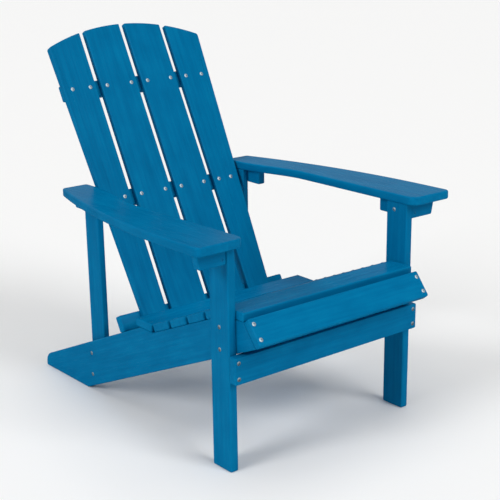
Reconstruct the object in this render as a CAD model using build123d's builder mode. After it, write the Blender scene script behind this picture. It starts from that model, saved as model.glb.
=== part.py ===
from build123d import *
import os
from math import cos, radians, sin, sqrt, tan

# Adirondack chair of resin boards: a fixed garden chair, every board screwed to its neighbours.
# Millimetres, +Z up, the sitter faces -Y, the origin is on the floor under the middle of the chair.
# A reach is measured back from the front faces of the front legs, a height up from the floor,
# and side is -1 for the chair's left half (-X) and +1 for its right half (+X).

# Boards
frame_width = 540.0  # across the outer faces of the front legs
board_thickness = 20.0
board_width = 64.0  # front legs and every seat board
strip_width = 40.0  # battens and lower rail
edge_round = 3.0
end_play = 0.5  # at each end of a board that fits between two others

# Stringers, the sloping side rails that reach the floor as rear legs
stringer_pitch = 23.8  # degrees of fall to the rear
stringer_width = 108.5
toe_reach = 612.0  # where the lower edge meets the floor
heel_height = 29.5  # of the upright rear end
heel_round = 30.0

# Seat
seat_pitch = 23.1  # degrees of fall of the sloping slats
seat_rear_height = 248.0  # top of the level rear slat
seat_thickness = 19.0
seat_reach = 37.5  # bend in the stringers under the front slat
seat_gap = 8.5  # between sloping slats, evened out over the slope
rear_bed_run = 49.6  # level cut in the stringers under the rear slat
rear_slat_gap = 4.0  # from the bend in the stringers to the rear slat
front_slat_lap = 4.0  # of the level front slat past the bend in front
lip_tilt = 51.0  # degrees of the lip board's rise to the rear
lip_gap = 0.8  # from the lip board to the front slat

# Arms
arm_height = 527.8  # top face, above the front faces of the legs
arm_fall = 1.0  # degrees of fall to the rear
arm_thickness = 20.0
arm_overhang = 29.0  # ahead of the legs
arm_flare = 96.0  # outer edge beyond the legs
arm_lap = 6.0  # inner edge at the front, in past the inner faces of the legs
waist_lap = 1.0  # the same where the inner edge starts to swing in
arm_straight = 60.0  # reach of the straight part of the outer edge
arm_swing = 215.0  # length of the double bend in the inner edge
arm_swing_end = 20.0  # end of that bend, behind the front faces of the posts
tail_width = 68.0
tail_lap = 1.0  # inner edge of the tail, past the inner faces of the posts
tail_overhang = 11.0  # behind the posts
arm_inner_round = 24.0
arm_outer_round = 14.0
tail_round = 8.0
arm_edge_round = 4.0

# Rear posts, and the cleats and brackets that carry the arms
post_reach = 175.0  # front faces of the posts, behind the rear slat
post_width = 58.0
post_thickness = 16.0
post_foot_gap = 2.0  # above the lower edge of the stringers
bracket_width = 76.0  # at the top, out from the legs
bracket_bevel = 8.0
bracket_setback = 3.0
front_cleat_height = 38.0  # of the brackets too
front_cleat_length = 85.0  # behind the brackets
rear_cleat_height = 33.0
rear_cleat_lead = 44.0  # ahead of the posts
rear_cleat_length = 110.0

# Apron across the front legs
apron_width = 61.0
apron_gap = 0.5  # below the stringers

# Back
recline = 27.9  # degrees from upright
back_inset = 11.0  # middle screw row, behind the front faces of the posts
back_drop = 33.3  # middle screw row, below the top faces of the arms
back_thickness = 14.0
back_edge_round = 1.5
back_gap = 15.5  # between slats
back_play = 8.5  # between the outer slats and the posts at the middle screw row
back_flare = 16.0  # each side, from the middle screw row to the top corners
outer_slat_width = 94.65  # at the top corners
corner_round = 8.0
corner_rise = 391.5  # top corners above the middle screw row
crown_rise = 45.5  # top of the crown above the corners
upper_rise = 282.0  # upper screw row above the middle one
lower_inset = 16.0  # lower screw row above the foot of the lower rail
upper_batten_inset = 5.5  # ends of the upper batten, in from the slats

# Screws with raised countersunk heads
screw_radius = 2.0
head_radius = 4.75
head_angle = 82.0  # degrees across the countersunk cone
head_dome = 1.1
slot_width = 1.0
slot_length = 5.0
slot_depth = 1.7
screw_play = 0.2  # round the screw in its holes
tip_play = 1.0  # beyond the tip
screw_grip = 17.0  # in the second board
pair_spread = 36.0  # between two screws across a board
joint_spread = 50.0  # between two screws that hold a leg to its stringer
post_spread = 56.0  # between two screws that hold a post to its stringer
slat_screw_inset = 16.5  # from the edges of a back slat
outer_screw_inset = 24.0  # from the tapered edges of the outer back slats
post_cover = 3.0  # left in a post beyond the tips of the screws in it
front_cleat_screw_reach = 40.0
bracket_screw_rise = 12.0  # above the foot of a bracket
rear_cleat_screw_rise = 8.0  # along the slats, above the middle screw row
head_play = 1.0  # between a head and the batten beside it
arm_screw_inset = 25.0  # from the ends of a front cleat
rear_arm_screw_inset = 20.0  # from the front end of a rear cleat
rear_arm_screw_spread = 40.0
rail_screw_grip = 22.0

# Faces from side to side
leg_outer = frame_width / 2
leg_inner = leg_outer - board_thickness
post_outer = leg_inner - board_thickness
post_inner = post_outer - post_thickness
stringer_middle = (leg_inner + post_outer) / 2

# Stringers from the side
pitch = radians(stringer_pitch)
stringer_depth = stringer_width / cos(pitch)
heel_reach = toe_reach + (stringer_depth - heel_height) / tan(pitch)


# Height of a stringer's lower edge at a reach
def lower_edge(reach):
    return max(0.0, (toe_reach - reach) * tan(pitch))


# Height of a stringer's upper edge at a reach, behind the seat
def upper_edge(reach):
    return (toe_reach - reach) * tan(pitch) + stringer_depth


# Beds for the seat boards: level, sloping, level, from the rear to the front
fall = radians(seat_pitch)
rear_bed = seat_rear_height - seat_thickness
rear_bed_end = toe_reach - (rear_bed - stringer_depth) / tan(pitch)
rear_bend = rear_bed_end - rear_bed_run
slope_run = (rear_bend - seat_reach) / cos(fall)
sloping_slats = round((slope_run - seat_gap) / (board_width + seat_gap))
slope_gap = (slope_run - sloping_slats * board_width) / (sloping_slats + 1)
front_bed = rear_bed + slope_run * sin(fall)
front_slat_reach = seat_reach + front_slat_lap - board_width
rear_slat_reach = rear_bend + rear_slat_gap
post_front = rear_slat_reach + board_width + post_reach


# Height of the seat bed at a reach, in front of the rear bend
def seat_bed(reach):
    return front_bed - max(0.0, reach - seat_reach) * tan(fall)


# The lip board lies on the stringers' front ends, from its upper back corner down to their lower edges
lip_angle = radians(lip_tilt)
lip_top_reach = front_slat_reach - lip_gap
lip_foot_reach = lip_top_reach - board_width * cos(lip_angle)
lip_foot_height = front_bed - board_width * sin(lip_angle)
lip_run = (front_bed - lower_edge(lip_top_reach)) / (sin(lip_angle) + cos(lip_angle) * tan(pitch))
lip_nose = (
    lip_foot_reach
    - seat_thickness * sin(lip_angle)
    + edge_round * (sin(lip_angle) + cos(lip_angle) - 1)
)

# The chair's length is centred on the origin, from the lip board's nose to the stringers' heels
front = -(lip_nose + heel_reach) / 2
side_view = Plane(origin=(0, front, 0), x_dir=(0, 1, 0), z_dir=(1, 0, 0))

# Arm board's top face
arm_angle = radians(arm_fall)
arm_plane = Plane(
    origin=(0, front, arm_height),
    x_dir=(1, 0, 0),
    z_dir=(0, sin(arm_angle), cos(arm_angle)),
)
arm_under_plane = arm_plane.offset(-arm_thickness)


# Height of the arms' underside at a reach
def arm_under(reach):
    return arm_height - reach * tan(arm_angle) - arm_thickness / cos(arm_angle)


# Front face of the back slats, with its origin on the middle screw row
lean = radians(recline)
back_reach = post_front + back_inset
back_height = arm_height - back_reach * tan(arm_angle) - back_drop
back_plane = Plane(
    origin=(0, front + back_reach, back_height),
    x_dir=(1, 0, 0),
    z_dir=(0, -cos(lean), sin(lean)),
)


# Reach and height of a point up the slats from the middle screw row and behind their front face
def on_back(rise, depth):
    reach = back_reach + rise * sin(lean) + depth * cos(lean)
    height = back_height + rise * cos(lean) - depth * sin(lean)
    return reach, height


# Rise at which a plane behind the slats' front face meets the stringers' upper edge
def back_foot(depth):
    reach, height = on_back(0, depth)
    return (upper_edge(reach) - height) / (cos(lean) + sin(lean) * tan(pitch))


# Half the width over all four slats at a rise
def back_half_width(rise):
    return post_inner - back_play + back_flare * rise / corner_rise


batten_depth = back_thickness + board_thickness
rail_foot = back_foot(back_thickness)
rail_top = rail_foot + strip_width
lower_rise = rail_foot + lower_inset
inner_slat_width = back_half_width(corner_rise) - outer_slat_width - 1.5 * back_gap
slat_pitch = inner_slat_width + back_gap

hole_radius = screw_radius + screw_play
sink_radius = head_radius + screw_play

sides = {"left": -1, "right": 1}

os.makedirs("parts", exist_ok=True)


def save(piece, name):
    piece.part.label = name
    export_step(piece.part, f"parts/{name}.step")


# The two values that lie a spread apart about a middle
def pair(middle, spread):
    return middle - spread / 2, middle + spread / 2


# Top face of a seat board, from its front lower corner and its fall to the rear
def seat_plane(reach, height, angle):
    middle_reach = reach + board_width / 2 * cos(angle) + seat_thickness * sin(angle)
    middle_height = height - board_width / 2 * sin(angle) + seat_thickness * cos(angle)
    return Plane(
        origin=(0, front + middle_reach, middle_height),
        x_dir=(1, 0, 0),
        z_dir=(0, sin(angle), cos(angle)),
    )


seat_boards = {
    "seat_lip": seat_plane(lip_foot_reach, lip_foot_height, -lip_angle),
    "seat_front_slat": seat_plane(front_slat_reach, front_bed, 0),
    "seat_rear_slat": seat_plane(rear_slat_reach, rear_bed, 0),
}
for number in range(sloping_slats):
    along = slope_gap + number * (board_width + slope_gap)
    slat_reach = seat_reach + along * cos(fall)
    slat_height = front_bed - along * sin(fall)
    seat_boards[f"seat_slat_{number + 1}"] = seat_plane(slat_reach, slat_height, fall)

# Screw seats: planes on the faces that the heads lie in, facing outwards
apron_top = lower_edge(0) - apron_gap
apron_middle = apron_top - apron_width / 2
leg_reach = board_width / 2
leg_joint_height = (lower_edge(leg_reach) + seat_bed(leg_reach)) / 2
post_middle = post_front + post_width / 2
post_joint_height = (lower_edge(post_middle) + upper_edge(post_middle)) / 2
front_cleat_reach = bracket_setback + board_thickness
front_cleat_end = front_cleat_reach + front_cleat_length
front_cleat_foot = arm_under(leg_reach) - front_cleat_height
front_cleat_middle = leg_outer + board_thickness / 2
bracket_top = arm_under(bracket_setback)
rear_cleat_reach = post_front - rear_cleat_lead
rear_cleat_foot = arm_under(post_middle) - rear_cleat_height
rear_cleat_depth = batten_depth + head_radius + head_play


# A screw seat in the side view, facing along X
def side_seat(x, reach, height, facing):
    return Plane(origin=(x, front + reach, height), x_dir=(0, 1, 0), z_dir=(facing, 0, 0))


# A screw seat that faces down
def under_seat(x, reach, height):
    return Plane(origin=(x, front + reach, height), x_dir=(1, 0, 0), z_dir=(0, 0, -1))


def apron_seats(side):
    x = side * (leg_outer + leg_inner) / 2
    y = front - board_thickness
    heights = pair(apron_middle, pair_spread)
    return [Plane(origin=(x, y, z), x_dir=(1, 0, 0), z_dir=(0, -1, 0)) for z in heights]


def leg_seats(side):
    heights = pair(leg_joint_height, joint_spread)
    return [side_seat(side * leg_outer, leg_reach, z, side) for z in heights]


def post_seats(side):
    heights = pair(post_joint_height, post_spread)
    return [side_seat(side * leg_inner, post_middle, z, side) for z in heights]


def front_cleat_seats(side):
    height = front_cleat_foot + front_cleat_height / 2
    return [side_seat(side * leg_inner, front_cleat_screw_reach, height, -side)]


def bracket_seats(side):
    origin = (side * front_cleat_middle, front + bracket_setback, front_cleat_foot + bracket_screw_rise)
    return [Plane(origin=origin, x_dir=(1, 0, 0), z_dir=(0, -1, 0))]


def rear_cleat_seats(side):
    reach, height = on_back(rear_cleat_screw_rise, rear_cleat_depth)
    return [side_seat(side * post_inner, reach, height, -side)]


def batten_seats(side):
    reach, height = on_back(0, back_thickness + board_thickness / 2)
    return [side_seat(side * (post_outer - head_dome), reach, height, side)]


def front_arm_seats(side):
    x = side * front_cleat_middle
    reaches = (front_cleat_reach + arm_screw_inset, front_cleat_end - arm_screw_inset)
    return [under_seat(x, reach, front_cleat_foot) for reach in reaches]


def rear_arm_seats(side):
    x = side * stringer_middle
    first = rear_cleat_reach + rear_arm_screw_inset
    reaches = (first, first + rear_arm_screw_spread)
    return [under_seat(x, reach, rear_cleat_foot) for reach in reaches]


def rail_seats(side):
    reach, height = on_back(rail_top, back_thickness + board_thickness / 2)
    origin = (side * stringer_middle, front + reach, height)
    return [Plane(origin=origin, x_dir=(1, 0, 0), z_dir=(0, sin(lean), cos(lean)))]


def seat_seats(plane, side):
    x = side * stringer_middle
    origins = [plane.from_local_coords((x, y, 0)) for y in pair(0, pair_spread)]
    return [Plane(origin=origin, x_dir=(1, 0, 0), z_dir=plane.z_dir) for origin in origins]


# Two screws in a back slat, numbered outwards from the middle of the chair
def back_seats(number, side, rise):
    inner = number * slat_pitch + back_gap / 2
    outer = inner + inner_slat_width - slat_screw_inset
    if number > 0:
        outer = back_half_width(rise) - outer_screw_inset
    places = (inner + slat_screw_inset, outer)
    origins = [back_plane.from_local_coords((side * x, rise, 0)) for x in places]
    return [Plane(origin=origin, x_dir=(1, 0, 0), z_dir=back_plane.z_dir) for origin in origins]


def back_row(rise):
    return [seat for number in (0, 1) for side in sides.values() for seat in back_seats(number, side, rise)]


def both_sides(seats):
    return [seat for side in sides.values() for seat in seats(side)]


# Screw lengths
board_screw = board_thickness + screw_grip
seat_screw = seat_thickness + screw_grip
back_screw = back_thickness + screw_grip
post_screw = board_thickness + post_thickness - post_cover
cleat_screw = post_thickness + screw_grip
front_arm_screw = front_cleat_height + arm_thickness / 2
rear_arm_screw = rear_cleat_height + arm_thickness / 2
rail_screw = strip_width + rail_screw_grip


# Countersunk holes in the board that the heads lie in
def countersink(seats):
    with Locations(*seats):
        CounterSinkHole(hole_radius, sink_radius, depth=board_width * 2, counter_sink_angle=head_angle)


# Holes in a board that a screw of the given length reaches, measured from its seat
def pilot(seats, length):
    with Locations(*seats):
        Hole(hole_radius, depth=length + tip_play)


# Front legs
for name, side in sides.items():
    with BuildPart() as leg:
        with BuildSketch(side_view.offset(side * (leg_outer + leg_inner) / 2)):
            with BuildLine():
                top = [(board_width, arm_under(board_width)), (0, arm_under(0))]
                Polyline((0, 0), (board_width, 0), *top, close=True)
            make_face()
        extrude(amount=board_thickness / 2, both=True)
        fillet(leg.edges(), edge_round)
        countersink(leg_seats(side))
        countersink(front_cleat_seats(side))
        pilot(apron_seats(side), board_screw)
    save(leg, f"front_leg_{name}")

# Stringers, cut for the seat boards on top, for the lip board in front and for the floor behind
for name, side in sides.items():
    with BuildPart() as stringer:
        with BuildSketch(side_view.offset(side * stringer_middle)) as profile:
            with BuildLine():
                lip_end = lip_top_reach - lip_run * cos(lip_angle)
                Polyline(
                    (toe_reach, 0),
                    (heel_reach, 0),
                    (heel_reach, heel_height),
                    (rear_bed_end, rear_bed),
                    (rear_bend, rear_bed),
                    (seat_reach, front_bed),
                    (lip_top_reach, front_bed),
                    (lip_end, lower_edge(lip_end)),
                    close=True,
                )
            make_face()
            heel_top = profile.vertices().group_by(Axis.X)[-1].sort_by(Axis.Y)[-1]
            fillet(heel_top, heel_round)
        extrude(amount=board_thickness / 2, both=True)
        fillet(stringer.faces().filter_by(Axis.X).edges(), edge_round)
        countersink(post_seats(side))
        pilot(leg_seats(side), board_screw)
        pilot(rail_seats(side), rail_screw)
        for plane in seat_boards.values():
            pilot(seat_seats(plane, side), seat_screw)
    save(stringer, f"stringer_{name}")

# Rear posts inside the stringers
for name, side in sides.items():
    with BuildPart() as post:
        with BuildSketch(side_view.offset(side * (post_outer + post_inner) / 2)):
            with BuildLine():
                post_rear = post_front + post_width
                post_foot = lower_edge(post_front) + post_foot_gap
                top = [(post_rear, arm_under(post_rear)), (post_front, arm_under(post_front))]
                Polyline((post_front, post_foot), (post_rear, post_foot), *top, close=True)
            make_face()
        extrude(amount=post_thickness / 2, both=True)
        fillet(post.edges(), edge_round)
        countersink(rear_cleat_seats(side))
        countersink(batten_seats(side))
        pilot(post_seats(side), post_screw)
    save(post, f"rear_post_{name}")

# Blocks under the arms, outside the front legs
for name, side in sides.items():
    with BuildPart() as front_cleat:
        with BuildSketch(side_view.offset(side * front_cleat_middle)):
            with BuildLine():
                Polyline(
                    (front_cleat_reach, front_cleat_foot),
                    (front_cleat_end, front_cleat_foot),
                    (front_cleat_end, arm_under(front_cleat_end)),
                    (front_cleat_reach, arm_under(front_cleat_reach)),
                    close=True,
                )
            make_face()
        extrude(amount=board_thickness / 2, both=True)
        fillet(front_cleat.edges(), edge_round)
        countersink(front_arm_seats(side))
        pilot(front_cleat_seats(side), board_screw)
        pilot(bracket_seats(side), board_screw)
    save(front_cleat, f"front_arm_cleat_{name}")

# Brackets across the front ends of those blocks
for name, side in sides.items():
    with BuildPart() as bracket:
        with BuildSketch(Plane.XZ.offset(-(front + bracket_setback))):
            with BuildLine():
                Polyline(
                    (side * leg_outer, front_cleat_foot),
                    (side * (leg_outer + bracket_width - bracket_bevel), front_cleat_foot),
                    (side * (leg_outer + bracket_width), bracket_top),
                    (side * leg_outer, bracket_top),
                    close=True,
                )
            make_face()
        extrude(amount=-board_thickness)
        split(bisect_by=arm_under_plane, keep=Keep.BOTTOM)
        fillet(bracket.edges(), edge_round)
        countersink(bracket_seats(side))
    save(bracket, f"front_arm_bracket_{name}")

# Blocks under the arms, outside the rear posts
for name, side in sides.items():
    with BuildPart() as rear_cleat:
        with BuildSketch(side_view.offset(side * stringer_middle)):
            with BuildLine():
                rear_cleat_end = rear_cleat_reach + rear_cleat_length
                Polyline(
                    (rear_cleat_reach, rear_cleat_foot),
                    (rear_cleat_end, rear_cleat_foot),
                    (rear_cleat_end, arm_under(rear_cleat_end)),
                    (rear_cleat_reach, arm_under(rear_cleat_reach)),
                    close=True,
                )
            make_face()
        extrude(amount=board_thickness / 2, both=True)
        fillet(rear_cleat.edges(), edge_round)
        countersink(rear_arm_seats(side))
        pilot(rear_cleat_seats(side), cleat_screw)
    save(rear_cleat, f"rear_arm_cleat_{name}")

# Arms: straight flared front, then both edges swing in to a narrow tail over the posts
for name, side in sides.items():
    front_x = side * (leg_inner - arm_lap)
    outer_x = side * (leg_outer + arm_flare)
    waist_x = side * (leg_inner - waist_lap)
    tail_x = side * (post_inner - tail_lap)
    tail_outer_x = tail_x + side * tail_width
    tail_end = post_front + post_width + tail_overhang
    swing_end = post_front + arm_swing_end
    swing_start = swing_end - arm_swing
    waist_run = (waist_x - front_x, swing_start + arm_overhang)
    with BuildPart() as arm:
        with BuildSketch(arm_plane) as outline:
            with BuildLine():
                Polyline((waist_x, swing_start), (front_x, -arm_overhang), (outer_x, -arm_overhang))
                Line((outer_x, -arm_overhang), (outer_x, arm_straight))
                TangentArc((outer_x, arm_straight), (tail_outer_x, tail_end), tangent=(0, 1))
                Polyline((tail_outer_x, tail_end), (tail_x, tail_end), (tail_x, swing_end))
                Spline((waist_x, swing_start), (tail_x, swing_end), tangents=[waist_run, (0, 1)])
            make_face()
            front_corners = outline.vertices().group_by(Axis.Y)[0]
            fillet(front_corners.sort_by(lambda corner: abs(corner.X))[0], arm_inner_round)
            front_corners = outline.vertices().group_by(Axis.Y)[0]
            fillet(front_corners.sort_by(lambda corner: abs(corner.X))[-1], arm_outer_round)
            fillet(outline.vertices().group_by(Axis.Y)[-1], tail_round)
        extrude(amount=-arm_thickness)
        arm_faces = arm.faces().sort_by(Axis.Z)
        fillet(arm_faces[0].edges() + arm_faces[-1].edges(), arm_edge_round)
        pilot(front_arm_seats(side), front_arm_screw)
        pilot(rear_arm_seats(side), rear_arm_screw)
    save(arm, f"arm_{name}")

# Apron across the front faces of the legs
with BuildPart() as apron:
    with BuildSketch(Plane.XZ.offset(-front)):
        with Locations((0, apron_middle)):
            Rectangle(frame_width, apron_width)
    extrude(amount=board_thickness)
    fillet(apron.edges(), edge_round)
    countersink(both_sides(apron_seats))
save(apron, "front_apron")

# Seat boards and the lip board, let in between the legs
for name, plane in seat_boards.items():
    with BuildPart() as seat_board:
        with BuildSketch(plane):
            Rectangle(2 * (leg_inner - end_play), board_width)
        extrude(amount=-seat_thickness)
        fillet(seat_board.edges(), edge_round)
        for side in sides.values():
            countersink(seat_seats(plane, side))
    save(seat_board, name)

# Back slats, cut from one crowned and tapered outline
back_top = corner_rise + crown_rise
for slat_name, number, side in (
    ("outer_left", 1, -1),
    ("inner_left", 0, -1),
    ("inner_right", 0, 1),
    ("outer_right", 1, 1),
):
    foot_half = back_half_width(rail_foot)
    corner_half = back_half_width(corner_rise)
    slat_inner = number * slat_pitch + back_gap / 2
    strip = inner_slat_width if number == 0 else corner_half
    with BuildPart() as slat:
        with BuildSketch(back_plane) as outline:
            with BuildLine():
                Polyline((-corner_half, corner_rise), (-foot_half, rail_foot), (foot_half, rail_foot))
                Line((foot_half, rail_foot), (corner_half, corner_rise))
                ThreePointArc((corner_half, corner_rise), (0, back_top), (-corner_half, corner_rise))
            make_face()
            with Locations((side * (slat_inner + strip / 2), 0)):
                Rectangle(strip, 2 * back_top, mode=Mode.INTERSECT)
            if number > 0:
                fillet(outline.vertices().group_by(Axis.Y)[-2], corner_round)
        extrude(amount=-back_thickness)
        fillet(slat.edges(), back_edge_round)
        for rise in (lower_rise, 0, upper_rise):
            countersink(back_seats(number, side, rise))
    save(slat, f"back_slat_{slat_name}")

# Battens behind the slats, the middle one between the posts
upper_half = back_half_width(upper_rise - strip_width / 2) - upper_batten_inset
for batten_name, rise, half_length in (
    ("upper_batten", upper_rise, upper_half),
    ("middle_batten", 0, post_inner - end_play),
):
    with BuildPart() as batten:
        with BuildSketch(back_plane.offset(-back_thickness)):
            with Locations((0, rise)):
                Rectangle(2 * half_length, strip_width)
        extrude(amount=-board_thickness)
        fillet(batten.edges(), edge_round)
        pilot(back_row(rise), back_screw)
        if rise == 0:
            pilot(both_sides(batten_seats), cleat_screw)
    save(batten, batten_name)

# Lower rail behind the slats, its foot bevelled to stand on the stringers
with BuildPart() as lower_rail:
    with BuildSketch(side_view):
        with BuildLine():
            Polyline(
                on_back(rail_foot, back_thickness),
                on_back(back_foot(batten_depth), batten_depth),
                on_back(rail_top, batten_depth),
                on_back(rail_top, back_thickness),
                close=True,
            )
        make_face()
    extrude(amount=leg_inner, both=True)
    fillet(lower_rail.edges(), edge_round)
    countersink(both_sides(rail_seats))
    pilot(back_row(lower_rise), back_screw)
save(lower_rail, "lower_back_rail")


# One screw, pointing down, its countersunk cone level with Z = 0 and a cross slot in its raised head
def make_screw(length):
    cone_depth = (head_radius - screw_radius) / tan(radians(head_angle / 2))
    with BuildPart() as screw:
        with BuildSketch(Plane.XZ):
            with BuildLine():
                dome_radius = (head_radius**2 + head_dome**2) / (2 * head_dome)
                half_rise = sqrt(dome_radius**2 - (head_radius / 2) ** 2) - dome_radius + head_dome
                ThreePointArc((0, head_dome), (head_radius / 2, half_rise), (head_radius, 0))
                Polyline(
                    (head_radius, 0),
                    (screw_radius, -cone_depth),
                    (screw_radius, screw_radius - length),
                    (0, -length),
                    (0, head_dome),
                )
            make_face()
        revolve(axis=Axis.Z)
        with BuildSketch(Plane.XY.offset(head_dome)):
            Rectangle(slot_length, slot_width)
            Rectangle(slot_width, slot_length)
        extrude(amount=-slot_depth, mode=Mode.SUBTRACT)
    return screw.part


# Screws in the seat boards: the lip board's are plain steel, the slats' are coated in the boards' colour
lip_row, slat_rows = [], []
for name, plane in seat_boards.items():
    row = lip_row if name == "seat_lip" else slat_rows
    for side in sides.values():
        row += seat_seats(plane, side)

for group_name, length, seats in (
    ("apron_screws", board_screw, both_sides(apron_seats)),
    ("leg_screws", board_screw, both_sides(leg_seats)),
    ("post_screws", post_screw, both_sides(post_seats)),
    ("front_cleat_screws", board_screw, both_sides(front_cleat_seats)),
    ("bracket_screws", board_screw, both_sides(bracket_seats)),
    ("rear_cleat_screws", cleat_screw, both_sides(rear_cleat_seats)),
    ("middle_batten_screws", cleat_screw, both_sides(batten_seats)),
    ("front_arm_screws", front_arm_screw, both_sides(front_arm_seats)),
    ("rear_arm_screws", rear_arm_screw, both_sides(rear_arm_seats)),
    ("lower_rail_screws", rail_screw, both_sides(rail_seats)),
    ("lip_screws", seat_screw, lip_row),
    ("seat_screws", seat_screw, slat_rows),
    ("upper_back_screws", back_screw, back_row(upper_rise)),
    ("middle_back_screws", back_screw, back_row(0)),
    ("lower_back_screws", back_screw, back_row(lower_rise)),
):
    single = make_screw(length)
    with BuildPart() as group:
        with Locations(*seats):
            add(single)
    save(group, group_name)

print("front faces of the legs at Y", round(front, 3))
print("heel reach", round(heel_reach, 2), "lip nose", round(lip_nose, 2), "slope gap", round(slope_gap, 3))
print("front bed", round(front_bed, 2), "rear bend", round(rear_bend, 2), "rail foot rise", round(rail_foot, 2))
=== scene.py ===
from math import cos, pi, radians, sin, tan

import bpy
import numpy as np
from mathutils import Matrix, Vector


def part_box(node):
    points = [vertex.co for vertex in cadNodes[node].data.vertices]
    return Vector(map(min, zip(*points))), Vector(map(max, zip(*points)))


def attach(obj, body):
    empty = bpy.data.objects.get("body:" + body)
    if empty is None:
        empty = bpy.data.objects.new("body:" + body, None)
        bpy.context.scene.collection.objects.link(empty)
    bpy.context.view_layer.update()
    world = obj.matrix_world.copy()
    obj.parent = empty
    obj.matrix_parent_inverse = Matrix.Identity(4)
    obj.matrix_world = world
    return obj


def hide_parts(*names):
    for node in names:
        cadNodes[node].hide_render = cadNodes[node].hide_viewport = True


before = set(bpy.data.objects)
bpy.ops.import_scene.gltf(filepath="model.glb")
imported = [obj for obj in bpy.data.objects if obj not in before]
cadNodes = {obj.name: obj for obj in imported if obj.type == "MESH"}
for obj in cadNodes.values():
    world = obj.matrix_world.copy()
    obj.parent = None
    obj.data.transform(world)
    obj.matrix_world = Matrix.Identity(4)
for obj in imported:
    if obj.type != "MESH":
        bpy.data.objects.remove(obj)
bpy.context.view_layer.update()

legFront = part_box("front_leg_left")[0].y  # every reach below is measured back from here, in metres
print("frame loaded,", len(cadNodes), "nodes")

sideways, backward, upward = np.eye(3)
sides = {"Left": -1, "Right": 1}
corner = 0.0038  # least corner in an outline, so that the eased edge can run round it
boardEase = 0.003  # rounding along a board's edges
faceStrip = 0.0008  # narrow strip of a face beside its eased edge
paintedEdgeHighlight = {"rim": 0.4, "crest": 0.6}  # painted highlight on an eased edge: all along it, and added in its middle
endGrain = 0.1  # below this the grain runs straight into the face
plankShift = np.array([0.83, 0.37, 0.19])  # from one board's stretch of the pattern to the next one's
toneDraw = {"seed": 11, "boards": 64}
boardTones = np.random.default_rng(toneDraw["seed"]).uniform(-1.0, 1.0, toneDraw["boards"])
boards = []


# Outline with rounded corners: each corner is an arc whose outward direction turns evenly from the
# side before it to the side after it. A radius of 0 asks for the largest arc that fits, which makes
# a row of such corners one smooth curve. Returns the points and their outward directions.
def roundedOutline(corners, radii, steps=6, sideShare=0.49, leastTan=1e-6):
    corners = np.asarray(corners, float)
    radii = np.broadcast_to(np.asarray(radii, float), len(corners))
    following = np.roll(corners, -1, 0)
    if (corners[:, 0] * following[:, 1] - corners[:, 1] * following[:, 0]).sum() < 0:
        corners, radii = corners[::-1], radii[::-1]
    into = corners - np.roll(corners, 1, 0)
    length = np.linalg.norm(into, axis=1)
    into = into / length[:, None]
    out = np.roll(into, -1, 0)
    turn = np.arctan2(into[:, 0] * out[:, 1] - into[:, 1] * out[:, 0], (into * out).sum(1))
    shorter = np.minimum(length, np.roll(length, -1))
    room = sideShare * shorter / np.maximum(np.tan(abs(turn) / 2), leastTan)
    radii = np.where(radii > 0, radii, room)
    signed = radii * np.sign(turn)
    outward = np.stack([into[:, 1], -into[:, 0]], 1)
    start = corners - into * (radii * np.tan(abs(turn) / 2))[:, None]
    centre = start - outward * signed[:, None]
    angle = turn[:, None] * np.linspace(0, 1, steps + 1)
    c, s = np.cos(angle), np.sin(angle)
    x, y = outward[:, :1], outward[:, 1:]
    facing = np.stack([c * x - s * y, s * x + c * y], 2)
    points = centre[:, None] + facing * signed[:, None, None]
    return points.reshape(-1, 2), facing.reshape(-1, 2)


# Outline of a plain rectangle, as wide to the left as to the right
def rectangle(half, low, high):
    return roundedOutline([(-half, low), (half, low), (half, high), (-half, high)], corner)


# A board is a short profile carried round its outline: a narrow strip of the face, a quarter round,
# the side, another quarter round and a strip of the underside. The two flats close it.
def boardShell(points, facing, thick, ease, steps=5):
    arc = np.linspace(0, pi / 2, steps + 1)
    inset = np.concatenate([[ease + faceStrip], ease * (1 - np.sin(arc))])
    depth = np.concatenate([[0.0], ease * (1 - np.cos(arc))])
    inset = np.concatenate([inset, inset[::-1]])
    depth = np.concatenate([depth, thick - depth[::-1]])
    # Painted highlight: how much paler each row of the eased edge is coloured, most in the middle of the
    # round
    eased = np.concatenate([[0.0], np.sin(arc * 2) * paintedEdgeHighlight["crest"] + paintedEdgeHighlight["rim"] * (arc > 0)])
    eased = np.concatenate([eased, eased[::-1]])
    flat = points[None] - facing[None] * inset[:, None, None]
    rows, columns = len(inset), len(points)
    grid = np.concatenate([flat, np.broadcast_to(depth[:, None, None], (rows, columns, 1))], 2)
    index = np.arange(rows * columns).reshape(rows, columns)
    ahead = np.roll(index, -1, 1)
    quads = np.stack([index[:-1], index[1:], ahead[1:], ahead[:-1]], 2).reshape(-1, 4)
    faces = quads.tolist() + [index[0].tolist(), index[-1, ::-1].tolist()]
    return grid.reshape(-1, 3), faces, np.repeat(eased, columns)


# Node that a board stands for: the same words in small letters, joined by underscores
def nodeName(piece):
    return "".join("_" + sign.lower() if sign.isupper() or sign.isdigit() else sign for sign in piece)


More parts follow.
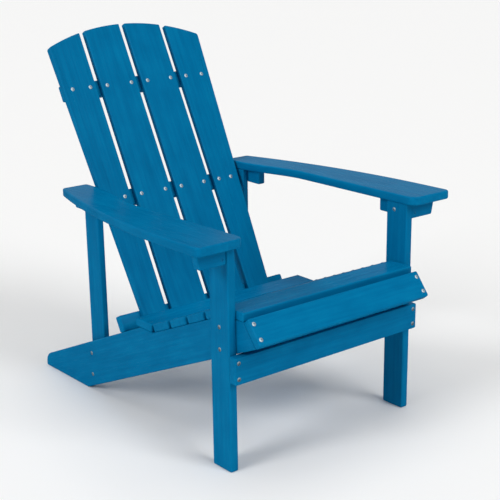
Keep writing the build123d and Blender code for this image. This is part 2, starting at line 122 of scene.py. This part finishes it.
# Puts a board into the frame. The outline lies in the plane of two axes, the depth runs back from
# their normal, and every vertex keeps its place in the plank that the board was sawn from:
# along the grain, across it and through it, each plank shifted to another stretch of the pattern.
def addBoard(name, origin, right, up, outline, thick, grain, ease=boardEase, reshape=None):
    node = nodeName(name)
    right, up, grain = (np.asarray(v, float) for v in (right, up, grain))
    normal = np.cross(right, up)
    local, faces, eased = boardShell(*outline, thick, ease)
    place = np.asarray(origin, float) + local[:, :1] * right + local[:, 1:2] * up - local[:, 2:] * normal
    if reshape:
        place = reshape(place)
    through = normal - grain * (normal @ grain)
    through = up if np.linalg.norm(through) < endGrain else through / np.linalg.norm(through)
    across = np.cross(through, grain)
    plank = np.stack([place @ grain, place @ across, place @ through], 1)
    plank += plankShift * (len(boards) + 1)
    tone = np.full(len(place), boardTones[len(boards)])
    mesh = bpy.data.meshes.new(name)
    mesh.from_pydata(place.tolist(), [], faces)
    mesh.attributes.new("plank", "FLOAT_VECTOR", "POINT").data.foreach_set("vector", plank.ravel())
    # The eased attribute carries the painted highlight on the rounded edges
    mesh.attributes.new("eased", "FLOAT", "POINT").data.foreach_set("value", eased)
    mesh.attributes.new("tone", "FLOAT", "POINT").data.foreach_set("value", tone)
    mesh.polygons.foreach_set("use_smooth", np.ones(len(faces), bool))
    mesh.materials.append(blueLumber)
    mesh.update()
    board = bpy.data.objects.new(name, mesh)
    bpy.context.scene.collection.objects.link(board)
    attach(board, "root")
    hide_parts(node)
    boards.append(board)


def newMaterial(name):
    material = bpy.data.materials.new(name)
    material.use_nodes = True
    return material, material.node_tree, material.node_tree.nodes["Principled BSDF"]


def addNode(tree, kind, at, **settings):
    made = tree.nodes.new(kind)
    made.location = at
    for key, value in settings.items():
        if isinstance(value, (int, float, tuple)) and key in made.inputs:
            made.inputs[key].default_value = value
        else:
            setattr(made, key, value)
    return made


# Math node whose terms are numbers or outputs of other nodes
def addMath(tree, operation, at, *terms):
    made = addNode(tree, "ShaderNodeMath", at, operation=operation)
    for slot, term in zip(made.inputs, terms):
        if isinstance(term, float):
            slot.default_value = term
        else:
            tree.links.new(term, slot)
    return made.outputs[0]


# Fine noise that stays with the piece
def addSpeckle(tree, scale, detail):
    where = addNode(tree, "ShaderNodeTexCoord", (-900, 0))
    noise = addNode(tree, "ShaderNodeTexNoise", (-700, 0), Scale=scale, Detail=detail)
    tree.links.new(where.outputs["Object"], noise.inputs["Vector"])
    return noise


# Roughness that a pattern moves between a low and a high value
def varyRoughness(tree, shader, pattern, look):
    rough = addNode(tree, "ShaderNodeMapRange", (-440, 100))
    rough.inputs["To Min"].default_value = look["roughLow"]
    rough.inputs["To Max"].default_value = look["roughHigh"]
    tree.links.new(pattern.outputs["Fac"], rough.inputs["Value"])
    tree.links.new(rough.outputs["Result"], shader.inputs["Roughness"])


def addRelief(tree, shader, height, strength, distance):
    bump = addNode(tree, "ShaderNodeBump", (-240, -160), Strength=strength, Distance=distance)
    tree.links.new(height, bump.inputs["Height"])
    tree.links.new(bump.outputs["Normal"], shader.inputs["Normal"])


# A stretch squeezes a pattern along the plank, across it and through it
lumberLook = {
    "deep": (0.0, 0.118, 0.272, 1.0), "deepAt": 0.25,
    "base": (0.0002, 0.150, 0.330, 1.0), "baseAt": 0.5,
    "pale": (0.001, 0.192, 0.390, 1.0), "paleAt": 0.78,
    "streak": {"stretch": (5.0, 120.0, 120.0), "detail": 4.0, "rough": 0.55},
    "fibre": {"stretch": (26.0, 620.0, 620.0), "detail": 3.0, "rough": 0.6},
    "mottle": {"stretch": (14.0, 26.0, 26.0), "detail": 3.0, "rough": 0.5},
    "rings": {"stretch": (1.3, 62.0, 40.0), "scale": 0.55, "bend": 7.0, "detail": 3.0, "detailScale": 0.7},
    "streakShare": 0.55, "mottleShare": 0.45, "toneShare": 0.05, "highlightShare": 0.10, "ringShare": 0.55,
    "specular": 0.022, "index": 1.49, "roughLow": 0.20, "roughHigh": 0.32,
    "grainDepth": 0.0005, "grainStrength": 0.30,
}


# Coloured resin lumber: long faint streaks, a cloudy mottle and embossed grain lines along the plank, and a
# painted highlight that pales the eased edges
def makeLumber(look):
    material, tree, shader = newMaterial("blueLumber")
    link = tree.links.new
    plank = addNode(tree, "ShaderNodeAttribute", (-1500, 200), attribute_name="plank")
    tone = addNode(tree, "ShaderNodeAttribute", (-1100, 620), attribute_name="tone")
    # Share of the painted highlight along the eased edges
    eased = addNode(tree, "ShaderNodeAttribute", (-1100, 820), attribute_name="eased")

    def stretched(pattern, kind, at, **settings):
        mapping = addNode(tree, "ShaderNodeMapping", (at[0] - 200, at[1]), Scale=pattern["stretch"])
        texture = addNode(tree, kind, at, Detail=pattern["detail"], **settings)
        link(plank.outputs["Vector"], mapping.inputs["Vector"])
        link(mapping.outputs["Vector"], texture.inputs["Vector"])
        return texture

    def stretchedNoise(pattern, at):
        return stretched(pattern, "ShaderNodeTexNoise", at, Scale=1.0, Roughness=pattern["rough"])

    streak = stretchedNoise(look["streak"], (-1000, 400))
    fibre = stretchedNoise(look["fibre"], (-1000, 120))
    mottle = stretchedNoise(look["mottle"], (-1000, -160))
    rings = stretched(look["rings"], "ShaderNodeTexWave", (-1000, -440), wave_type="BANDS",
                      bands_direction="Y", Scale=look["rings"]["scale"], Distortion=look["rings"]["bend"])
    rings.inputs["Detail Scale"].default_value = look["rings"]["detailScale"]

    cloudy = addMath(tree, "MULTIPLY", (-980, -700), mottle.outputs["Fac"], look["mottleShare"])
    streaky = addMath(tree, "MULTIPLY_ADD", (-780, 300), streak.outputs["Fac"], look["streakShare"], cloudy)
    toned = addMath(tree, "MULTIPLY_ADD", (-620, 420), tone.outputs["Fac"], look["toneShare"], streaky)
    ramp = addNode(tree, "ShaderNodeValToRGB", (-440, 420))
    ramp.color_ramp.elements[0].position = look["deepAt"]
    ramp.color_ramp.elements[0].color = look["deep"]
    ramp.color_ramp.elements[1].position = look["paleAt"]
    ramp.color_ramp.elements[1].color = look["pale"]
    ramp.color_ramp.elements.new(look["baseAt"]).color = look["base"]
    link(toned, ramp.inputs["Fac"])
    # Painted highlight: the eased edges are mixed towards the pale blue
    highlighted = addNode(tree, "ShaderNodeMix", (-140, 420), data_type="RGBA", blend_type="MIX")
    highlightShare = addMath(tree, "MULTIPLY", (-440, 640), eased.outputs["Fac"], look["highlightShare"])
    link(highlightShare, highlighted.inputs["Factor"])
    link(ramp.outputs["Color"], highlighted.inputs["A"])
    highlighted.inputs["B"].default_value = look["pale"]
    link(highlighted.outputs["Result"], shader.inputs["Base Color"])

    varyRoughness(tree, shader, fibre, look)
    relief = addMath(tree, "MULTIPLY_ADD", (-640, -200), rings.outputs["Fac"], look["ringShare"],
                     fibre.outputs["Fac"])
    addRelief(tree, shader, relief, look["grainStrength"], look["grainDepth"])
    shader.inputs["IOR"].default_value = look["index"]
    shader.inputs["Specular IOR Level"].default_value = look["specular"]
    return material


steelLook = {
    "colour": (0.47, 0.54, 0.58, 1.0), "roughLow": 0.50, "roughHigh": 0.64,
    "markScale": 900.0, "markDetail": 2.0, "markStrength": 0.1, "markDepth": 0.0001,
}


# Plain screw steel, a little dulled, with fine turning marks
def makeSteel(look):
    material, tree, shader = newMaterial("screwSteel")
    marks = addSpeckle(tree, look["markScale"], look["markDetail"])
    varyRoughness(tree, shader, marks, look)
    addRelief(tree, shader, marks.outputs["Fac"], look["markStrength"], look["markDepth"])
    shader.inputs["Base Color"].default_value = look["colour"]
    shader.inputs["Metallic"].default_value = 1.0
    return material


coatLook = {
    "colour": (0.0002, 0.143, 0.316, 1.0), "roughLow": 0.34, "roughHigh": 0.46, "specular": 0.06,
    "peelScale": 700.0, "peelDetail": 1.0,
}


# Paint in the colour of the boards, its gloss a little uneven
def makeCoat(look):
    material, tree, shader = newMaterial("coatedSteel")
    peel = addSpeckle(tree, look["peelScale"], look["peelDetail"])
    varyRoughness(tree, shader, peel, look)
    shader.inputs["Base Color"].default_value = look["colour"]
    shader.inputs["Specular IOR Level"].default_value = look["specular"]
    return material


blueLumber = makeLumber(lumberLook)
screwSteel = makeSteel(steelLook)
coatedSteel = makeCoat(coatLook)
print("finishes made")


def tilted(angle):  # backward and downward by an angle
    return np.array([0.0, cos(radians(angle)), -sin(radians(angle))])


# Start of a side view: outline points are reach and height, the face looks along +X
def sideOrigin(x):
    return (x, legFront, 0.0)


# A pair of boards drawn in side view, the left one the mirror image of the right one
def addSidePair(piece, shape, outline, grain):
    for word, side in sides.items():
        faceX = shape["outer"] if side > 0 else shape["thick"] - shape["outer"]
        addBoard(piece + word, sideOrigin(faceX), backward, upward, outline, shape["thick"], grain)


armShape = {
    "height": 0.5278, "fall": 1.0, "thick": 0.020, "ease": 0.004,
    "front": -0.029, "straight": 0.060, "outer": 0.366,
    "frontInner": 0.244, "waist": (0.249, 0.36005), "tail": (0.213, 0.57505),
    "tailOuter": 0.281, "tailEnd": 0.62405,
    "innerRound": 0.024, "outerRound": 0.014, "tailRound": 0.008,
    "innerPoints": 15, "outerPoints": 17,
}


# Height of the arms' underside at a reach
def armUnder(reach):
    a = radians(armShape["fall"])
    return armShape["height"] - reach * tan(a) - armShape["thick"] / cos(a)


# Side view of a board with a level foot, cut to the arms' underside at its top
def underArm(near, far, foot):
    return roundedOutline([(near, foot), (far, foot), (far, armUnder(far)), (near, armUnder(near))], corner)


# Arm outline: the outer edge runs straight and then along a circle tangent to it; the inner edge is
# a cubic that leaves the straight waist in its direction and reaches the tail along the chair's length
def armOutline(arm, side):
    wx, wy = arm["waist"]
    tx, ty = arm["tail"]
    along = np.array([wx - arm["frontInner"], wy - arm["front"]])
    along /= np.linalg.norm(along)
    chord = np.hypot(tx - wx, ty - wy)
    t = np.linspace(0, 1, arm["innerPoints"])[:, None]
    inner = ((1 + 2 * t) * (1 - t) ** 2 * np.array([wx, wy]) + t * (1 - t) ** 2 * chord * along
             + t * t * (3 - 2 * t) * np.array([tx, ty]) + t * t * (t - 1) * chord * np.array([0.0, 1.0]))
    dx, dy = arm["outer"] - arm["tailOuter"], arm["tailEnd"] - arm["straight"]
    radius = (dx * dx + dy * dy) / (2 * dx)
    turn = np.linspace(0, np.arcsin(dy / radius), arm["outerPoints"])[:, None]
    outer = np.hstack([arm["outer"] - radius * (1 - np.cos(turn)), arm["straight"] + radius * np.sin(turn)])
    corners = np.vstack([
        [[arm["frontInner"], arm["front"]], [arm["outer"], arm["front"]]], outer,
        [[tx, arm["tailEnd"]]], inner[::-1],
    ])
    radii = np.zeros(len(corners))
    radii[0], radii[1] = arm["innerRound"], arm["outerRound"]
    radii[1 + len(outer)] = radii[2 + len(outer)] = arm["tailRound"]
    return roundedOutline(corners * (side, 1), radii)


for word, side in sides.items():
    addBoard("arm" + word, (0, legFront, armShape["height"]), sideways, tilted(armShape["fall"]),
             armOutline(armShape, side), armShape["thick"], tilted(armShape["fall"]), armShape["ease"])

legShape = {"width": 0.064, "outer": 0.270, "thick": 0.020}
addSidePair("frontLeg", legShape, underArm(0, legShape["width"], 0), upward)

stringerShape = {
    "pitch": 23.8, "width": 0.1085, "toe": 0.612, "heel": (0.81398, 0.0295), "heelRound": 0.030,
    "rearBed": (0.31205, 0.36165, 0.229), "frontBed": (-0.0233, 0.0375, 0.34611),
    "lipEnd": (-0.0626, 0.2975), "outer": 0.250, "thick": 0.020,
}


# Heights of the stringers' sloping edges at a reach
def upperEdge(reach):
    a = radians(stringerShape["pitch"])
    return (stringerShape["toe"] - reach) * tan(a) + stringerShape["width"] / cos(a)


def lowerEdge(reach):
    return max(0.0, (stringerShape["toe"] - reach) * tan(radians(stringerShape["pitch"])))


heelReach, heelHeight = stringerShape["heel"]
bendReach, bedEnd, rearBed = stringerShape["rearBed"]
lipTop, frontBend, frontBed = stringerShape["frontBed"]
stringerCorners = [
    (stringerShape["toe"], 0), (heelReach, 0), (heelReach, heelHeight), (bedEnd, rearBed),
    (bendReach, rearBed), (frontBend, frontBed), (lipTop, frontBed), stringerShape["lipEnd"],
]
stringerRadii = [corner, corner, stringerShape["heelRound"]] + [corner] * 5
addSidePair("stringer", stringerShape, roundedOutline(stringerCorners, stringerRadii),
            tilted(stringerShape["pitch"]))

postShape = {"near": 0.55505, "width": 0.058, "outer": 0.230, "thick": 0.016, "footGap": 0.002}
postFoot = lowerEdge(postShape["near"]) + postShape["footGap"]
addSidePair("rearPost", postShape,
            underArm(postShape["near"], postShape["near"] + postShape["width"], postFoot), upward)

# A cleat's height is measured at the middle of the post or leg that holds it
rearCleatShape = {"near": 0.51105, "far": 0.62105, "height": 0.033, "outer": 0.250, "thick": 0.020}
rearCleatFoot = armUnder(postShape["near"] + postShape["width"] / 2) - rearCleatShape["height"]
addSidePair("rearArmCleat", rearCleatShape,
            underArm(rearCleatShape["near"], rearCleatShape["far"], rearCleatFoot), backward)

frontCleatShape = {"near": 0.023, "far": 0.108, "height": 0.038, "outer": 0.290, "thick": 0.020}
frontCleatFoot = armUnder(legShape["width"] / 2) - frontCleatShape["height"]
addSidePair("frontArmCleat", frontCleatShape,
            underArm(frontCleatShape["near"], frontCleatShape["far"], frontCleatFoot), backward)

bracketShape = {"inner": 0.270, "width": 0.076, "bevel": 0.008, "setback": 0.003, "thick": 0.020}
bracketTop = armUnder(bracketShape["setback"])
bracketEnd = bracketShape["inner"] + bracketShape["width"]
bracketCorners = np.array([
    (bracketShape["inner"], frontCleatFoot), (bracketEnd - bracketShape["bevel"], frontCleatFoot),
    (bracketEnd, bracketTop), (bracketShape["inner"], bracketTop),
])


# A bracket's top follows the arm's fall and its foot stays level: the drop grows with the height
def followArm(place):
    behind = place[:, 1] - legFront - bracketShape["setback"]
    share = (place[:, 2] - frontCleatFoot) / (bracketTop - frontCleatFoot)
    return place - np.outer(behind * tan(radians(armShape["fall"])) * share, upward)


for word, side in sides.items():
    addBoard("frontArmBracket" + word, (0, legFront + bracketShape["setback"], 0), sideways, upward,
             roundedOutline(bracketCorners * (side, 1), corner), bracketShape["thick"], sideways,
             reshape=followArm)

apronShape = {"half": 0.270, "top": 0.26942, "width": 0.061, "thick": 0.020, "ease": 0.0014}
addBoard("frontApron", (0, legFront - apronShape["thick"], 0), sideways, upward,
         rectangle(apronShape["half"], apronShape["top"] - apronShape["width"], apronShape["top"]),
         apronShape["thick"], sideways, apronShape["ease"])
print("frame boards made,", len(boards))

# Lip, front, slopeStart and rear are reach and height of the front edge of a board's underside
seatShape = {
    "half": 0.2495, "width": 0.064, "thick": 0.019, "slope": 23.1, "gap": 0.008497, "lipTilt": 51.0,
    "lip": (-0.06358, 0.29637), "front": (-0.0225, 0.34611), "slopeStart": (0.0375, 0.34611),
    "rear": (0.31605, 0.229), "slopingSlats": 4,
}
seatBoards = {
    "seatLip": (seatShape["lip"], -seatShape["lipTilt"]),
    "seatFrontSlat": (seatShape["front"], 0.0),
    "seatRearSlat": (seatShape["rear"], 0.0),
}
for number in range(seatShape["slopingSlats"]):
    run = seatShape["gap"] + number * (seatShape["width"] + seatShape["gap"])
    a = radians(seatShape["slope"])
    start = (seatShape["slopeStart"][0] + run * cos(a), seatShape["slopeStart"][1] - run * sin(a))
    seatBoards[f"seatSlat{number + 1}"] = (start, seatShape["slope"])
for name, ((reach, height), angle) in seatBoards.items():
    down = tilted(angle)
    halfWidth = seatShape["width"] / 2
    lift = np.cross(sideways, down) * seatShape["thick"]
    middle = np.array([0, legFront + reach, height]) + down * halfWidth + lift
    addBoard(name, middle, sideways, down, rectangle(seatShape["half"], -halfWidth, halfWidth),
             seatShape["thick"], sideways)

# Rises are measured up the slats from the point at this reach and height on their front face
backShape = {
    "reach": 0.56605, "height": 0.48462, "lean": 27.9, "thick": 0.014, "ease": 0.0015,
    "half": 0.2055, "flare": 0.016, "cornerRise": 0.3915, "crown": 0.0455, "foot": -0.31617,
    "gap": 0.0155, "innerWidth": 0.1036, "cornerRound": 0.008, "crownPoints": 11,
}
leaning = np.array([0.0, sin(radians(backShape["lean"])), cos(radians(backShape["lean"]))])
backFace = np.cross(sideways, leaning)
backMiddle = np.array([0.0, legFront + backShape["reach"], backShape["height"]])


# Half the width of the back at a rise
def backHalf(rise):
    return backShape["half"] + backShape["flare"] * rise / backShape["cornerRise"]


# Height of the crown at a distance from the middle: a circle through both top corners and the crown
def crownRise(x):
    half = backHalf(backShape["cornerRise"])
    radius = (half ** 2 + backShape["crown"] ** 2) / (2 * backShape["crown"])
    return backShape["cornerRise"] + backShape["crown"] - radius + np.sqrt(radius ** 2 - x ** 2)


for place, number in (("Inner", 0), ("Outer", 1)):
    first = backShape["gap"] / 2 + number * (backShape["innerWidth"] + backShape["gap"])
    topEnd = first + backShape["innerWidth"] if number == 0 else backHalf(backShape["cornerRise"])
    footEnd = topEnd if number == 0 else backHalf(backShape["foot"])
    x = np.linspace(topEnd, first, backShape["crownPoints"])
    crown = np.stack([x, crownRise(x)], 1)
    corners = np.vstack([[(first, backShape["foot"]), (footEnd, backShape["foot"])], crown])
    radii = np.zeros(len(corners))
    radii[[0, 1, 2, -1]] = backShape["ease"] + faceStrip
    if number > 0:
        radii[2] = backShape["cornerRound"]
    for word, side in sides.items():
        addBoard("backSlat" + place + word, backMiddle, sideways, leaning,
                 roundedOutline(corners * (side, 1), radii), backShape["thick"], leaning, backShape["ease"])

battenShape = {
    "width": 0.040, "thick": 0.020, "upperRise": 0.282, "upperInset": 0.0055, "middleRise": 0.0,
    "middleHalf": 0.2135, "railHalf": 0.250,
}
halfBatten = battenShape["width"] / 2
upperHalf = backHalf(battenShape["upperRise"] - halfBatten) - battenShape["upperInset"]
for name, rise, half in (("upperBatten", battenShape["upperRise"], upperHalf),
                         ("middleBatten", battenShape["middleRise"], battenShape["middleHalf"])):
    addBoard(name, backMiddle - backFace * backShape["thick"], sideways, leaning,
             rectangle(half, rise - halfBatten, rise + halfBatten), battenShape["thick"], sideways)


# Reach and height of a point up the slats and behind their front face
def onBack(rise, depth):
    a = radians(backShape["lean"])
    reach = backShape["reach"] + rise * sin(a) + depth * cos(a)
    return (reach, backShape["height"] + rise * cos(a) - depth * sin(a))


# Rise at which a plane behind the slats' front face meets the stringers' upper edge
def railFoot(depth):
    a = radians(backShape["lean"])
    reach, height = onBack(0, depth)
    return (upperEdge(reach) - height) / (cos(a) + sin(a) * tan(radians(stringerShape["pitch"])))


railNear, railFar = backShape["thick"], backShape["thick"] + battenShape["thick"]
railTop = railFoot(railNear) + battenShape["width"]
railCorners = [
    onBack(railFoot(railNear), railNear), onBack(railFoot(railFar), railFar),
    onBack(railTop, railFar), onBack(railTop, railNear),
]
addBoard("lowerBackRail", sideOrigin(battenShape["railHalf"]), backward, upward,
         roundedOutline(railCorners, corner), 2 * battenShape["railHalf"], sideways)
print("seat and back made,", len(boards), "boards in all")

# The screws keep their modelled shape and get their steel, those in the seat slats and brackets coated
coatedScrews = ("seat_screws", "bracket_screws")
for name, node in cadNodes.items():
    if name.endswith("_screws"):
        for holder in node.material_slots:
            holder.material = coatedSteel if name in coatedScrews else screwSteel

# The boards mirror a darker floor and sky than the camera sees, as in a studio with black card round the set
floorLook = {
    "half": 14.0, "colour": (0.96, 0.96, 0.955, 1.0), "mirrored": (0.05, 0.05, 0.05, 1.0), "rough": 0.7,
}
floorMesh = bpy.data.meshes.new("floor")
edge = floorLook["half"]
floorCorners = [(-edge, -edge, 0), (edge, -edge, 0), (edge, edge, 0), (-edge, edge, 0)]
floorMesh.from_pydata(floorCorners, [], [(0, 1, 2, 3)])
floorPaper, paperTree, paperShader = newMaterial("floorPaper")
paperShader.inputs["Roughness"].default_value = floorLook["rough"]
paperRays = addNode(paperTree, "ShaderNodeLightPath", (-500, 0))
paperTone = addNode(paperTree, "ShaderNodeMix", (-250, 0), data_type="RGBA", blend_type="MIX")
paperTone.inputs["A"].default_value = floorLook["colour"]
paperTone.inputs["B"].default_value = floorLook["mirrored"]
paperTree.links.new(paperRays.outputs["Is Glossy Ray"], paperTone.inputs["Factor"])
paperTree.links.new(paperTone.outputs["Result"], paperShader.inputs["Base Color"])
floorMesh.materials.append(floorPaper)
floor = bpy.data.objects.new("floor", floorMesh)
bpy.context.scene.collection.objects.link(floor)

# Each lamp is a wide soft source far off: turn is measured round the chair from its front, height is
# the angle above the floor. Where its holder hangs makes no difference to the light.
lampSettings = {
    "leftLamp": {"turn": -92.0, "height": 30.0, "spread": 24.0, "power": 1.38},
    "frontLamp": {"turn": 10.0, "height": 38.0, "spread": 30.0, "power": 1.36},
    "topLamp": {"turn": 180.0, "height": 82.0, "spread": 50.0, "power": 0.70},
}
lampHolder = (0, 0, 3)
for name, lamp in lampSettings.items():
    light = bpy.data.lights.new(name, "SUN")
    light.energy = lamp["power"]
    light.angle = radians(lamp["spread"])
    holder = bpy.data.objects.new(name, light)
    holder.rotation_euler = (radians(90 - lamp["height"]), 0, radians(lamp["turn"]))
    holder.location = lampHolder
    bpy.context.scene.collection.objects.link(holder)

skyLook = {"colour": (1.0, 1.0, 1.0, 1.0), "strength": 0.30, "seenExtra": 0.66, "mirroredExtra": 0.12}
sky = bpy.data.worlds.new("studioSky")
sky.use_nodes = True
skyTree = sky.node_tree
skyRays = addNode(skyTree, "ShaderNodeLightPath", (-700, 0))
skySeen = addMath(skyTree, "MULTIPLY_ADD", (-450, 0), skyRays.outputs["Is Camera Ray"],
                  skyLook["seenExtra"], skyLook["strength"])
skyMirrored = addMath(skyTree, "MULTIPLY_ADD", (-250, 0), skyRays.outputs["Is Glossy Ray"],
                      skyLook["mirroredExtra"], skySeen)
skyTree.nodes["Background"].inputs["Color"].default_value = skyLook["colour"]
skyTree.links.new(skyMirrored, skyTree.nodes["Background"].inputs["Strength"])
bpy.context.scene.world = sky
bpy.context.scene.view_settings.view_transform = "Standard"

# Focal length, frame width, frame middle and the lens axis are in pixels of the photo
cameraLook = {
    "at": (-1.7083, legFront - 1.8755, 1.2045), "pitch": 18.0, "yaw": 41.2, "sensor": 36.0,
    "focal": 720.2, "frame": 296.0, "middle": (128.0, 301.0), "axis": (159.2, 318.5),
}
camera = bpy.data.cameras.new("camera")
camera.sensor_width = cameraLook["sensor"]
camera.lens = cameraLook["sensor"] * cameraLook["focal"] / cameraLook["frame"]
camera.shift_x = (cameraLook["middle"][0] - cameraLook["axis"][0]) / cameraLook["frame"]
camera.shift_y = (cameraLook["axis"][1] - cameraLook["middle"][1]) / cameraLook["frame"]
viewer = bpy.data.objects.new("camera", camera)
viewer.location = cameraLook["at"]
viewer.rotation_euler = (radians(90 - cameraLook["pitch"]), 0, radians(-cameraLook["yaw"]))
bpy.context.scene.collection.objects.link(viewer)
bpy.context.scene.camera = viewer
print("stage set")
